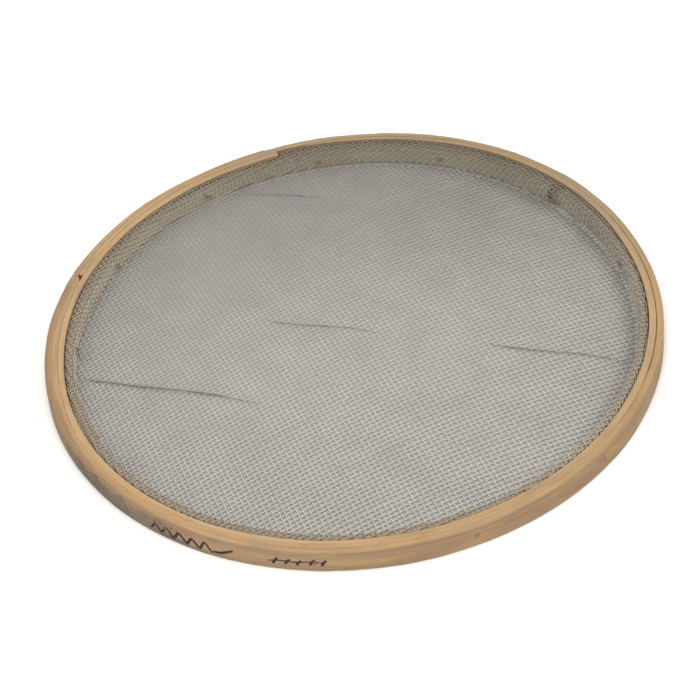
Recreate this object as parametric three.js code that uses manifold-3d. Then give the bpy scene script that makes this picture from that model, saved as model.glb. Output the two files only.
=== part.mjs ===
// Round hand sieve for soil: three bentwood hoops, one woven-wire tray and the
// clenched nails that hold them together.
//
// Frame: millimetres, +Z up, origin on the resting plane at the middle of the
// outer hoop's bounding box. Angles are degrees anticlockwise from +X, seen from above.
//
//   outer_hoop   one long strip; its ends overlap in a nailed scarf lap
//   middle_hoop  inner wooden strip: blunt end at START_DEG, feathered tail
//   clamp_hoop   split hoop that the wire cloth is folded over
//   wire_mesh    the wire cloth as a thin closed tray: floor, wall, fold, skirt
//   nail_01..13  driven from outside through everything, points bent over inside

import * as THREE from 'three';
import { mergeVertices } from 'three/addons/utils/BufferGeometryUtils.js';
import Module from 'manifold-3d';

const wasm = await Module();
wasm.setup();

// ---------------------------------------------------------------- dimensions
const OUTER_DIAMETER = 550;
const OUTER_R = OUTER_DIAMETER / 2;
const HOOP_HEIGHT = 20;
const GAP = 0.35;                  // clearance between neighbouring pieces
const STRIP_STEP = 3;              // degrees between stations of the two wooden strips

// middle strip
const START_DEG = 101.1;           // blunt end
const START_CLEARANCE_DEG = 0.12;
const TAIL_DEG = 95.0;             // feathered tail, one turn on
const MIDDLE_Z0 = 0.2;
const MIDDLE_TOP_DROP = 0.3;       // its top edge below the outer hoop's

// scarf lap of the outer strip
const LAP_TIP_DEG = 103.5;         // feathered outer end
const LAP_END_DEG = 155.4;         // blunt inner end
const LAP_OPEN_DEG = LAP_END_DEG + 0.6;  // inner face starts to spread inwards
const LAP_CLOSE_DEG = 160.5;       // inner face meets the middle strip
const LAP_SPREAD_POWER = 0.8;

// wire cloth
const CLOTH = 1.8;                 // two crossing wires
const WALL_INNER_R = 249.4;
const WALL_OUTER_R = WALL_INNER_R + CLOTH;
const FLOOR_Z = 0.1;               // underside of the floor
const SKIRT_BOTTOM = 4.5;          // cut edge of the cloth, outside the clamp hoop
const SKIRT_GAP = 0.7;             // cloth to wood

// clamp hoop
const CLAMP_INNER_R = WALL_OUTER_R + GAP;
const CLAMP_Z0 = 2.6;
const CLAMP_TOP = 17.0;            // the fold of wire cloth covers this edge
const CLAMP_CHAMFER = 2.4;
const CLAMP_SPLIT_DEG = 37.0;      // butt gap
const CLAMP_SPLIT_MM = 5.0;

const STATION = 3.75;              // degrees between stations of clamp hoop and cloth
const ROUND_SIDES = 96;            // sides of the tray and of the clamp's bevel

const NAIL_COUNT = 13;
const NAIL_PHASE_DEG = 9.3;
const NAIL_SHANK_R = 0.95;
const NAIL_HEAD_R = 2.0;
const NAIL_HEAD_T = 0.9;
const NAIL_HOLE_R = 1.4;
const NAIL_SINK = 0.25;            // top of the head below the outer face
const NAIL_CLENCH = 5.0;           // length bent over on the inside
const NAIL_BEND_R = 1.3;
const NAIL_WALL_GAP = GAP + 0.15;  // bent point to the inside of the wall
const NAIL_Z = [10.4, 9.2, 11.0, 9.8, 10.6, 8.8, 11.2, 9.6, 10.2, 8.9, 11.0, 10.8, 9.3];

// radial reach of the drilled holes, clear of everything on both sides
const HOLE_FROM_R = 235;
const HOLE_TO_R = 290;

// hand-made outline, outer and inner face: [degrees, radius as a fraction of OUTER_R]
const RIM_OUT = [
  [-180, 0.9990], [-150, 0.9990], [-120, 0.9995], [-90, 1.0000], [-60, 0.9995],
  [-30, 0.9975], [-10, 0.9950], [12, 0.9905], [25, 0.9930], [35, 0.9965],
  [57, 0.9995], [70, 0.9970], [79.2, 0.9955], [80.0, 0.9920], [95, 0.9903],
  [103, 0.9885], [113, 0.9900], [135, 0.9965], [155, 1.0000], [170, 0.9995],
];
const RIM_IN = [
  [-180, 0.9385], [-150, 0.9435], [-120, 0.9445], [-90, 0.9445], [-60, 0.9460],
  [-30, 0.9485], [-10, 0.9485], [12, 0.9455], [25, 0.9530], [35, 0.9585],
  [57, 0.9655], [80, 0.9620], [95, 0.9640], [101.0, 0.9640], [101.2, 0.9430],
  [113, 0.9410], [135, 0.9440], [155, 0.9445], [170, 0.9400],
];
// middle strip, feathered at its tail: [degrees, thickness as a fraction of OUTER_R]
const MIDDLE_T = [
  [-180, 0.0200], [-120, 0.0205], [-60, 0.0220], [-20, 0.0235], [10, 0.0235],
  [25, 0.0195], [35, 0.0175], [57, 0.0150], [80, 0.0125], [88, 0.0085],
  [95, 0.0030], [101.0, 0.0030], [101.2, 0.0205], [135, 0.0210], [160, 0.0200],
];
// outer strip's feathered end: [degrees, thickness in mm]
const LAP_T = [[LAP_TIP_DEG, 0.8], [115, 1.6], [135, 3.2], [LAP_END_DEG, 5.0]];

// ---------------------------------------------------------------- table lookup
const rad = (deg) => (deg * Math.PI) / 180;
const norm180 = (deg) => ((((deg + 180) % 360) + 360) % 360) - 180;
const smooth = (t) => t * t * (3 - 2 * t);

// value of a table that closes on itself after 360 degrees; short spans are
// straight, longer ones half eased
function periodic(table, deg) {
  const angle = norm180(deg);
  const i = table.findLastIndex(([start]) => angle >= start);
  const [from, value] = table[i];
  const [to, next] = table[i + 1] ?? [table[0][0] + 360, table[0][1]];
  const t = (angle - from) / (to - from);
  const blend = to - from > 3 ? smooth(t) * 0.5 + t * 0.5 : t;
  return value + (next - value) * blend;
}

// straight-line value of an open table, held constant beyond its ends
function interpolate(table, x) {
  if (x <= table[0][0]) return table[0][1];
  for (let i = 1; i < table.length; i++) {
    const [from, value] = table[i - 1];
    const [to, next] = table[i];
    if (x <= to) return value + (next - value) * ((x - from) / (to - from));
  }
  return table[table.length - 1][1];
}

// ---------------------------------------------------------------- plan outlines
const rimOut = (deg) => OUTER_R * periodic(RIM_OUT, deg);
const rimIn = (deg) => OUTER_R * periodic(RIM_IN, deg);
const middleOut = (deg) => rimIn(deg) + OUTER_R * periodic(MIDDLE_T, deg);
const lapFace = (deg) => rimOut(deg) - interpolate(LAP_T, deg);

// inner face of the wood, smoothed across the step at the middle strip's blunt end
const EASE_FROM_DEG = 92;
const EASE_DONE_DEG = 99.8;
const EASE_TO_DEG = 113;
function easedWoodIn(deg) {
  const angle = norm180(deg);
  if (angle <= EASE_FROM_DEG || angle >= EASE_TO_DEG) return rimIn(angle);
  const t = Math.min(1, (angle - EASE_FROM_DEG) / (EASE_DONE_DEG - EASE_FROM_DEG));
  const start = rimIn(EASE_FROM_DEG);
  return start + (rimIn(EASE_TO_DEG) - start) * smooth(t);
}

// the same face, straight between the stations shared by clamp hoop and cloth
function woodIn(deg) {
  const k = Math.floor(deg / STATION);
  const t = deg / STATION - k;
  return easedWoodIn(k * STATION) * (1 - t) + easedWoodIn((k + 1) * STATION) * t;
}
const skirtOut = (deg) => woodIn(deg) - SKIRT_GAP;

// ---------------------------------------------------------------- geometry helpers
// closed geometry with merged vertices and outward faces
function solid(geometry) {
  const bare = geometry.clone();
  bare.deleteAttribute('normal');
  bare.deleteAttribute('uv');
  const merged = mergeVertices(bare, 1e-4);
  const position = merged.attributes.position;
  const source = merged.index.array;
  const corner = (k) => new THREE.Vector3().fromBufferAttribute(position, k);

  const index = [];
  let volume = 0;
  for (let i = 0; i < source.length; i += 3) {
    const [a, b, c] = source.slice(i, i + 3);
    if (a === b || b === c || c === a) continue;
    index.push(a, b, c);
    volume += corner(a).dot(corner(b).cross(corner(c)));
  }
  if (volume < 0) {
    for (let i = 0; i < index.length; i += 3) {
      [index[i + 1], index[i + 2]] = [index[i + 2], index[i + 1]];
    }
  }
  return indexed(position.array, index);
}

function indexed(positions, index) {
  const geometry = new THREE.BufferGeometry();
  const attribute = new THREE.BufferAttribute(new Float32Array(positions), 3);
  geometry.setAttribute('position', attribute);
  geometry.setIndex(index);
  return geometry;
}

function toManifold(geometry) {
  const closed = solid(geometry);
  return new wasm.Manifold(new wasm.Mesh({
    numProp: 3,
    vertProperties: new Float32Array(closed.attributes.position.array),
    triVerts: new Uint32Array(closed.index.array),
  }));
}

function fromManifold(manifold) {
  const mesh = manifold.getMesh();
  return indexed(mesh.vertProperties, Array.from(mesh.triVerts));
}

// evenly spaced angles plus extra ones; an angle too close to the one before is dropped
function angles(from, to, step, extra) {
  const count = Math.max(1, Math.round((to - from) / step));
  const list = extra.filter((angle) => angle > from && angle < to);
  for (let i = 0; i <= count; i++) list.push(from + ((to - from) * i) / count);
  list.sort((a, b) => a - b);
  return list.filter((angle, i) => i === 0 || angle - list[i - 1] > 0.15);
}

// strip bent into a hoop: plan outline from two radius functions, extruded up
function strip(list, outer, inner, z0, z1) {
  const at = (radius, deg) => new THREE.Vector2(
    radius * Math.cos(rad(deg)), radius * Math.sin(rad(deg)));
  const outline = [
    ...list.map((deg) => at(outer(deg), deg)),
    ...[...list].reverse().map((deg) => at(inner(deg), deg)),
  ];
  const geometry = new THREE.ExtrudeGeometry(new THREE.Shape(outline), {
    depth: z1 - z0,
    bevelEnabled: false,
    curveSegments: 1,
  });
  return geometry.translate(0, 0, z0);
}

// turned bodies; profile columns: [radius about the axis, place along the axis]
function lathe(profile, sides) {
  return new THREE.LatheGeometry(profile.map(([r, h]) => new THREE.Vector2(r, h)), sides);
}
const turnedAboutZ = (profile) => lathe(profile, ROUND_SIDES).rotateX(Math.PI / 2);
const turnedAboutX = (profile, sides) => lathe(profile, sides).rotateZ(-Math.PI / 2);

// ---------------------------------------------------------------- nail places and holes
const nails = NAIL_Z.map((z, i) => ({
  name: `nail_${String(i + 1).padStart(2, '0')}`,
  deg: NAIL_PHASE_DEG + (360 / NAIL_COUNT) * i,
  z,
}));
const nailHeadTop = (nail) => rimOut(nail.deg) - NAIL_SINK;

// swings a piece from the +X axis to a nail's angle and height
const place = (geometry, nail) => geometry.rotateZ(rad(nail.deg)).translate(0, 0, nail.z);

function drill(geometry, { headSeats = false } = {}) {
  let body = toManifold(geometry);
  const bore = (nail, from, radius, sides) => {
    const profile = [[0, from], [radius, from], [radius, HOLE_TO_R], [0, HOLE_TO_R]];
    body = body.subtract(toManifold(place(turnedAboutX(profile, sides), nail)));
  };
  for (const nail of nails) {
    bore(nail, HOLE_FROM_R, NAIL_HOLE_R, 8);
    if (headSeats) bore(nail, nailHeadTop(nail) - NAIL_HEAD_T - GAP, NAIL_HEAD_R + GAP, 12);
  }
  return fromManifold(body);
}

// ---------------------------------------------------------------- outer hoop
// runs anticlockwise from its feathered outer tip, once round, to its blunt end
function makeOuterHoop() {
  // past one full turn the strip lies inside its own feathered end
  const outer = (deg) => {
    const overlap = deg - 360;
    return overlap < LAP_TIP_DEG - 0.05 ? rimOut(deg) : lapFace(overlap) - GAP;
  };
  const inner = (deg) => {
    if (deg <= LAP_OPEN_DEG) return lapFace(deg);
    if (deg >= LAP_CLOSE_DEG) return middleOut(deg) + GAP;
    const t = (deg - LAP_OPEN_DEG) / (LAP_CLOSE_DEG - LAP_OPEN_DEG);
    const start = lapFace(LAP_END_DEG);
    const end = middleOut(LAP_CLOSE_DEG) + GAP;
    return start + (end - start) * Math.pow(t, LAP_SPREAD_POWER);
  };
  // extra stations where the faces step or turn
  const list = angles(LAP_TIP_DEG, 360 + LAP_END_DEG, STRIP_STEP, [
    LAP_OPEN_DEG, LAP_END_DEG + 2.2, LAP_END_DEG + 5, LAP_CLOSE_DEG,
    360 + 79.2, 360 + 80, 360 + TAIL_DEG, 360 + 101.0, 360 + 101.3,
    360 + LAP_TIP_DEG - 0.6, 360 + LAP_TIP_DEG,
  ]);
  return drill(strip(list, outer, inner, 0, HOOP_HEIGHT), { headSeats: true });
}

// ---------------------------------------------------------------- middle hoop
function makeMiddleHoop() {
  const start = START_DEG + START_CLEARANCE_DEG;
  const list = angles(start, 360 + TAIL_DEG, STRIP_STEP, [360 + 88, 360 + 92]);
  return drill(strip(list, middleOut, rimIn, MIDDLE_Z0, HOOP_HEIGHT - MIDDLE_TOP_DROP));
}

// ---------------------------------------------------------------- clamp hoop
// cutter that eases the inner top edge, so that the cloth folds without a sharp bend
function clampBevel() {
  const overrun = 2;
  const inner = CLAMP_INNER_R - overrun;
  const low = CLAMP_TOP - CLAMP_CHAMFER - overrun;
  const high = CLAMP_TOP + overrun;
  const outer = CLAMP_INNER_R + CLAMP_CHAMFER + overrun;
  return turnedAboutZ([[inner, low], [outer, high], [inner, high], [inner, low]]);
}

function makeClampHoop() {
  const outer = (deg) => skirtOut(deg) - CLOTH - GAP;
  const inner = () => CLAMP_INNER_R;
  const halfSplit = (CLAMP_SPLIT_MM / 2 / CLAMP_INNER_R) * (180 / Math.PI);
  const from = CLAMP_SPLIT_DEG + halfSplit;
  const to = CLAMP_SPLIT_DEG + 360 - halfSplit;
  // extra stations follow the eased step in the wood
  const list = angles(from, to, STATION, [90, 93.75, 97.5, 101.25, 105]);
  const hoop = toManifold(strip(list, outer, inner, CLAMP_Z0, CLAMP_TOP));
  return drill(fromManifold(hoop.subtract(toManifold(clampBevel()))));
}

// ---------------------------------------------------------------- wire tray
// turned with a round skirt, which is then moved radially to follow the wood
function makeWireMesh() {
  const skirtR = 258.0;
  const skirtInnerR = skirtR - CLOTH;
  const foldUnder = CLAMP_TOP + GAP;
  const foldTop = foldUnder + CLOTH;
  const bendZ = CLAMP_TOP - CLAMP_CHAMFER;
  const tray = turnedAboutZ([
    // underside of the floor, outside of the wall
    [0, FLOOR_Z], [WALL_INNER_R - 1.2, FLOOR_Z],
    [WALL_OUTER_R - 0.3, FLOOR_Z + 0.35], [WALL_OUTER_R, FLOOR_Z + 1.4],
    [WALL_OUTER_R, bendZ + 0.1],
    // underside of the fold, skirt down and back up
    [WALL_OUTER_R + CLAMP_CHAMFER - 0.1, foldUnder], [skirtInnerR, foldUnder],
    [skirtInnerR, SKIRT_BOTTOM], [skirtR, SKIRT_BOTTOM],
    [skirtR, foldTop - 0.6], [skirtR - 0.6, foldTop],
    // top of the fold, inside of the wall, top of the floor
    [WALL_INNER_R + CLAMP_CHAMFER - 0.2, foldTop], [WALL_INNER_R, bendZ + 0.6],
    [WALL_INNER_R, FLOOR_Z + CLOTH + 1.2],
    [WALL_INNER_R - 1.2, FLOOR_Z + CLOTH], [0, FLOOR_Z + CLOTH],
  ]);
  const position = tray.attributes.position;
  for (let i = 0; i < position.count; i++) {
    const x = position.getX(i);
    const y = position.getY(i);
    const radius = Math.hypot(x, y);
    if (radius <= skirtInnerR - 0.05) continue;
    const deg = (Math.atan2(y, x) * 180) / Math.PI;
    const scale = (radius + skirtOut(deg) - skirtR) / radius;
    position.setXY(i, x * scale, y * scale);
  }
  return drill(solid(tray));
}

// ---------------------------------------------------------------- nails
// bends the part of a nail inside bendStart sideways, along the wall;
// side is 1 for anticlockwise, -1 for clockwise
function clench(geometry, bendStart, arc, side) {
  const position = geometry.attributes.position;
  for (let i = 0; i < position.count; i++) {
    const x = position.getX(i);
    if (x >= bendStart) continue;
    const run = bendStart - x;
    const turn = run <= arc ? run / NAIL_BEND_R : Math.PI / 2;
    const straight = Math.max(0, run - arc);
    const sin = Math.sin(turn);
    const cos = Math.cos(turn);
    const across = position.getY(i) * side;
    const centreX = bendStart - NAIL_BEND_R * sin;
    const centreY = NAIL_BEND_R * (1 - cos) + straight;
    position.setX(i, centreX + sin * across);
    position.setY(i, (centreY + cos * across) * side);
  }
}

function makeNail(nail, index) {
  const top = nailHeadTop(nail);
  const under = top - NAIL_HEAD_T;
  const bendStart = WALL_INNER_R - NAIL_WALL_GAP - NAIL_SHANK_R + NAIL_BEND_R;
  const arc = (NAIL_BEND_R * Math.PI) / 2;
  const tip = bendStart - arc - NAIL_CLENCH;
  const geometry = turnedAboutX([
    [0, tip], [0.3, tip + 0.5], [NAIL_SHANK_R * 0.9, tip + 2.8],
    ...[3, 2, 1, 0].map((k) => [NAIL_SHANK_R, bendStart - (arc * k) / 3]),
    [NAIL_SHANK_R, under], [NAIL_HEAD_R - 0.15, under],
    [NAIL_HEAD_R, top - 0.2], [NAIL_HEAD_R - 0.45, top], [0, top],
  ], 8);
  // every third nail is bent clockwise, the others anticlockwise
  clench(geometry, bendStart, arc, index % 3 === 1 ? -1 : 1);
  // swing the bent point about the shank, so that no two lie quite alike
  geometry.rotateX(rad(((index * 47) % 50) - 25));
  return solid(place(geometry, nail));
}

// ---------------------------------------------------------------- materials
const OUTER_WOOD = { color: 0xae9270, roughness: 0.72, metalness: 0.0 };
const MIDDLE_WOOD = { color: 0xc8a87c, roughness: 0.7, metalness: 0.0 };
const CLAMP_WOOD = { color: 0x8c7654, roughness: 0.8, metalness: 0.0 };
const WIRE = { color: 0xa8a59c, roughness: 0.45, metalness: 0.9 };
const NAIL_IRON = { color: 0x5d5346, roughness: 0.55, metalness: 0.85 };

// ---------------------------------------------------------------- assembly
const sieve = new THREE.Group();
sieve.name = 'soil_sieve';

function add(name, geometry, finish) {
  const closed = solid(geometry);
  closed.computeVertexNormals();
  const material = new THREE.MeshStandardMaterial({ ...finish, flatShading: true });
  const mesh = new THREE.Mesh(closed, material);
  mesh.name = name;
  sieve.add(mesh);
}

// the outline isn't a true circle: the origin is put at the middle of its bounding
// box, a millimetre or so from the centre that the radii are measured from
const outerHoop = makeOuterHoop();
outerHoop.computeBoundingBox();
const middle = outerHoop.boundingBox.getCenter(new THREE.Vector3());
sieve.position.set(-middle.x, -middle.y, 0);
sieve.updateMatrixWorld(true);

add('outer_hoop', outerHoop, OUTER_WOOD);
add('middle_hoop', makeMiddleHoop(), MIDDLE_WOOD);
add('clamp_hoop', makeClampHoop(), CLAMP_WOOD);
add('wire_mesh', makeWireMesh(), WIRE);
nails.forEach((nail, i) => add(nail.name, makeNail(nail, i), NAIL_IRON));

export default sieve;
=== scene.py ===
# A round bentwood soil sieve: lapped bent strips, a folded tray of woven wire, clenched nails.
# Metres, +Z up, resting on z = 0. Angles are degrees about the centre: 0 is +X (right),
# 90 is +Y (back), 180 is -X (left) and -90 is -Y (front).
import math

import bpy
import numpy as np
from mathutils import Vector, Matrix
from mathutils.bvhtree import BVHTree


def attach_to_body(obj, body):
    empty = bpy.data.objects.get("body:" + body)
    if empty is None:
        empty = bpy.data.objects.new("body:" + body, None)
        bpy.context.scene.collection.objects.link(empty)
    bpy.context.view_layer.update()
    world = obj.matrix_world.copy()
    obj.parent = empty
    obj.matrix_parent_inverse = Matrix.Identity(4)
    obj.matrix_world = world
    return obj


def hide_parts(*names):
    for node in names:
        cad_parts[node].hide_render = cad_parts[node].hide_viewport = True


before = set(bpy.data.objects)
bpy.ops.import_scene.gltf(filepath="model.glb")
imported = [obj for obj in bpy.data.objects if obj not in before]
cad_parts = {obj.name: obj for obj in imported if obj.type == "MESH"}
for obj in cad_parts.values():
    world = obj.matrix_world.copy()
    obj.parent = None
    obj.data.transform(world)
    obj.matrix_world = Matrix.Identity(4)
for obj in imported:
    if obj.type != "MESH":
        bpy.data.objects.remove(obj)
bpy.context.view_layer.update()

# ------------------------------------------------------------------ dimensions
MM = 0.001
RADIUS = 0.275
HEIGHT = 0.020
CENTRE_X, CENTRE_Y = 0.000779, 0.001234    # centre the radii are measured from
STATION_STEP = 0.3       # degrees between stations along a strip

MIDDLE_START_DEG, MIDDLE_END_DEG = 101.1, 95.0
LAP_TIP_DEG, LAP_END_DEG, LAP_CLOSE_DEG = 103.5, 155.4, 157.5
SPLIT_DEG = 37.0                           # the clamp hoop's open joint

CLOTH_HALF = 0.99 * MM                     # half the woven cloth's thickness
FLOOR_Z = 1.02 * MM                        # middle of the cloth on the tray's floor

NAIL_HEIGHTS = [10.4, 9.2, 11.0, 9.8, 10.6, 8.8, 11.2, 9.6, 10.2, 8.9, 11.0, 10.8, 9.3]
NAIL_PHASE = 9.3                           # angle of the first nail
nails = [(NAIL_PHASE + 360.0 / len(NAIL_HEIGHTS) * i, z) for i, z in enumerate(NAIL_HEIGHTS)]

# Tables round the hoop have rows of (angle, value).
# Outer and inner faces of the wood, and the middle strip's thickness, as fractions of RADIUS
RIM_OUT = [
    (-180, 0.9990), (-150, 0.9990), (-120, 0.9995), (-90, 1.0000), (-60, 0.9995),
    (-30, 0.9975), (-10, 0.9950), (12, 0.9905), (25, 0.9930), (35, 0.9965),
    (57, 0.9995), (70, 0.9970), (79.2, 0.9955), (80.0, 0.9920), (95, 0.9903),
    (103, 0.9885), (113, 0.9900), (135, 0.9965), (155, 1.0000), (170, 0.9995)]
RIM_IN = [
    (-180, 0.9385), (-150, 0.9435), (-120, 0.9445), (-90, 0.9445), (-60, 0.9460),
    (-30, 0.9485), (-10, 0.9485), (12, 0.9455), (25, 0.9530), (35, 0.9585),
    (57, 0.9655), (80, 0.9620), (95, 0.9640), (101.0, 0.9640), (101.2, 0.9430),
    (113, 0.9410), (135, 0.9440), (155, 0.9445), (170, 0.9400)]
MIDDLE_THICK = [
    (-180, 0.0200), (-120, 0.0205), (-60, 0.0220), (-20, 0.0235), (10, 0.0235),
    (25, 0.0195), (35, 0.0175), (57, 0.0150), (80, 0.0125), (88, 0.0085),
    (95, 0.0030), (101.0, 0.0030), (101.2, 0.0205), (135, 0.0210), (160, 0.0200)]
STEPS_AT = (79.6, 101.1)                   # angles of the real steps in these curves

# Thickness in mm of the outer strip's tapered start, which covers its tucked-in end
LAP_THICK = [(103.5, 0.25), (106, 0.6), (115, 1.6), (135, 3.2), (155.4, 5.0)]
# Inner face of the wire wall, radius in mm
WALL_FACE = [
    (-180, 249.0), (-140, 249.5), (-90, 250.5), (-30, 250.9), (35.4, 250.9), (37.4, 248.6),
    (60, 249.1), (80, 249.1), (100, 248.7), (150, 248.7), (180, 249.0)]
# Rounding of the edges beside the groove between the strips, and the gap there, in mm
GROOVE = [
    (-180, 0.40), (-165, 0.30), (-150, 0.14), (-100, 0.10), (-60, 0.14), (-45, 0.30),
    (-20, 0.62), (8, 0.62), (22, 0.30), (40, 0.20), (66, 0.30), (88, 0.32), (101, 0.3),
    (120, 0.2), (150, 0.3), (165, 0.42)]
PLY_GAP = [
    (-180, 0.12), (-150, 0.06), (-60, 0.06), (-40, 0.18), (-20, 0.36), (8, 0.36),
    (25, 0.16), (60, 0.14), (88, 0.2), (110, 0.12), (150, 0.14), (170, 0.14)]
# Outer strip: top edge radius (mm), that edge's height over its width, swelling (mm)
# and outward lean of the foot (mm)
OUTER_ROUND = [
    (-180, 6.6), (-165, 5.8), (-150, 3.8), (-130, 3.2), (-60, 2.9), (-40, 2.4), (0, 1.6),
    (60, 1.5), (100, 1.4), (125, 2.0), (145, 3.4), (155, 4.6), (165, 6.2)]
OUTER_TALL = [(-180, 1.5), (-150, 1.3), (-120, 1.0), (120, 1.0), (150, 1.3), (170, 1.5)]
OUTER_BULGE = [
    (-180, 1.6), (-172, 1.2), (-165, 0.8), (-150, 0.2), (-130, 0.0), (15, 0.0), (25, 0.3),
    (31, 0.8), (42, 0.3), (52, 0.0), (85, 0.2), (92, 0.4), (100, 0.7), (112, 0.5),
    (122, 0.8), (130, 1.4), (140, 2.1), (150, 2.6), (160, 3.2), (170, 3.2), (176, 2.2)]
OUTER_LEAN = [
    (-180, 0.2), (-150, 0.3), (-120, 0.4), (-90, 0.4), (-65, 0.6), (-50, 1.0), (-40, 1.5),
    (-30, 0.8), (-15, 0.0), (150, 0.0)]
# Painted shade from 0 to 1: of the two bent strips, the clamp hoop and the outer top edge
WOOD_SHADE = [
    (-180, 0.04), (-155, 0.10), (-135, 0.10), (-115, 0.08), (-95, 0.14), (-75, 0.18),
    (-55, 0.20), (-35, 0.19), (-15, 0.12), (5, 0.13), (25, 0.16), (45, 0.18), (65, 0.17),
    (85, 0.05), (105, 0.06), (125, 0.01), (165, 0.0)]
CLAMP_SHADE = [
    (-180, 0.0), (-20, 0.0), (10, 0.0), (25, 0.06), (45, 0.18), (65, 0.12), (85, 0.14),
    (105, 0.14), (125, 0.08), (150, 0.05), (165, 0.02), (180, 0.0)]
ARRIS_SHADE = [
    (-180, 0.0), (-150, 0.0), (-138, 0.2), (-125, 0.9), (-100, 1.0), (-60, 1.0),
    (-45, 0.3), (-30, 0.0), (180, 0.0)]


# ------------------------------------------------------------------ curves and noise
def wrap(deg):
    return (np.asarray(deg, float) + 180.0) % 360.0 - 180.0


def lookup(table, x):
    """Straight lines between the table's points."""
    return np.interp(x, [row[0] for row in table], [row[1] for row in table])


def lookup_round(table, deg):
    return lookup(table, wrap(deg))


def smooth(x, low, high):
    """Eased step from 0 at low to 1 at high."""
    t = np.clip((np.asarray(x, float) - low) / (high - low), 0, 1)
    return t * t * (3 - 2 * t)


def ring_curve(table, deg):
    """Closed, half-eased curve through the table's points; short spans stay straight."""
    angle = wrap(deg)
    xs = np.array([row[0] for row in table] + [table[0][0] + 360.0])
    ys = np.array([row[1] for row in table] + [table[0][1]])
    i = np.clip(np.searchsorted(xs, angle, side="right") - 1, 0, len(xs) - 2)
    span = xs[i + 1] - xs[i]
    t = (angle - xs[i]) / span
    t = np.where(span > 3, 0.5 * t * t * (3 - 2 * t) + 0.5 * t, t)
    return ys[i] + (ys[i + 1] - ys[i]) * t


def eased(table, sigma=2.6):
    """The ring curve as a function, blurred over sigma degrees but not across real steps."""
    grid = np.arange(-180, 180, 0.1)
    values = ring_curve(table, grid)
    total, weight_sum = np.zeros_like(values), np.zeros_like(values)
    for cells in range(-80, 81, 2):
        offset = cells * 0.1
        low, high = np.minimum(grid, grid + offset), np.maximum(grid, grid + offset)
        clear = np.ones(len(grid), bool)
        for step in STEPS_AT:
            clear &= ~((low < step) & (high >= step))
        weight = math.exp(-(offset / sigma) ** 2 / 2) * clear
        total += weight * np.roll(values, -cells)
        weight_sum += weight
    blurred = total / weight_sum
    blurred = np.concatenate([blurred, blurred[:1]])
    return lambda deg: np.interp(wrap(deg), np.linspace(-180, 180, 3601), blurred)


def waves(seed, low, high, cross=0.0, n=14):
    """A repeatable noise of about -1 to 1: n waves of low to high cycles per metre."""
    rs = np.random.RandomState(seed)
    along = np.exp(rs.uniform(math.log(low), math.log(high), n))
    across = rs.uniform(-cross, cross, n)
    phase = rs.uniform(0, 2 * math.pi, n)
    weight = (along / low) ** -0.35
    weight /= math.sqrt((weight * weight).sum() / 2) * 1.6

    def noise(x, y=0.0):
        out = 0.0
        for k_x, k_y, shift, size in zip(along, across, phase, weight):
            out = out + size * np.cos(2 * math.pi * (k_x * x + k_y * y) + shift)
        return out
    return noise


rim_out_curve, rim_in_curve = eased(RIM_OUT), eased(RIM_IN)
middle_curve = eased(MIDDLE_THICK)


def rim_out(deg):
    return RADIUS * rim_out_curve(deg)


def rim_in(deg):
    return RADIUS * rim_in_curve(deg)


def middle_out(deg):
    """Outer face of the middle strip."""
    return rim_in(deg) + RADIUS * middle_curve(deg)


def lap_face(deg):
    """Face where the outer strip's two ends meet."""
    return rim_out(deg) - lookup(LAP_THICK, deg) * MM


def wall_r(deg):
    """Middle of the cloth on the wall: not a true circle, with a step at the split."""
    return lookup_round(WALL_FACE, deg) * MM + CLOTH_HALF


def wood_in(deg):
    """The wood's inner face, eased past the step at the middle strip's blunt end."""
    angle = wrap(deg)
    start, end, past = 100.2, 101.05, 103.0
    bridge = rim_in(start) + (rim_in(past) - rim_in(start)) * smooth(angle, start, end)
    return np.where((angle > start) & (angle < past), bridge, rim_in(angle))


# ------------------------------------------------------------------ meshes
def link_object(name, data):
    ob = bpy.data.objects.new(name, data)
    bpy.context.scene.collection.objects.link(ob)
    return ob


def new_object(name, verts, faces, material, smooth_shade=True):
    mesh = bpy.data.meshes.new(name)
    mesh.from_pydata([tuple(v) for v in verts], [], faces)
    mesh.validate()
    mesh.update()
    if smooth_shade:
        mesh.polygons.foreach_set("use_smooth", [True] * len(mesh.polygons))
    mesh.materials.append(material)
    return link_object(name, mesh)


def fast_object(name, verts, quads, ngons, material):
    """Mesh from numpy arrays: smooth quads (n, 4) and a few larger flat faces."""
    mesh = bpy.data.meshes.new(name)
    verts = np.ascontiguousarray(verts, np.float32)
    loops = np.concatenate([quads.ravel()] + list(ngons))
    sizes = np.array([4] * len(quads) + [len(face) for face in ngons])
    starts = np.concatenate([[0], np.cumsum(sizes)[:-1]])
    mesh.vertices.add(len(verts))
    mesh.vertices.foreach_set("co", verts.ravel())
    mesh.loops.add(len(loops))
    mesh.loops.foreach_set("vertex_index", loops.astype(np.int32))
    mesh.polygons.add(len(sizes))
    mesh.polygons.foreach_set("loop_start", starts.astype(np.int32))
    mesh.polygons.foreach_set("loop_total", sizes.astype(np.int32))
    mesh.update(calc_edges=True)
    mesh.polygons.foreach_set("use_smooth", np.arange(len(sizes)) < len(quads))
    mesh.validate()
    mesh.materials.append(material)
    return link_object(name, mesh)


def tube_quads(rings, sides, base=0):
    """Side faces of a tube whose points are stored ring after ring."""
    ring = np.arange(rings - 1)[:, None] * sides + base
    side = np.arange(sides)[None, :]
    after = (side + 1) % sides
    corners = [ring + side, ring + after, ring + sides + after, ring + sides + side]
    return np.stack(corners, -1).reshape(-1, 4)


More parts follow.
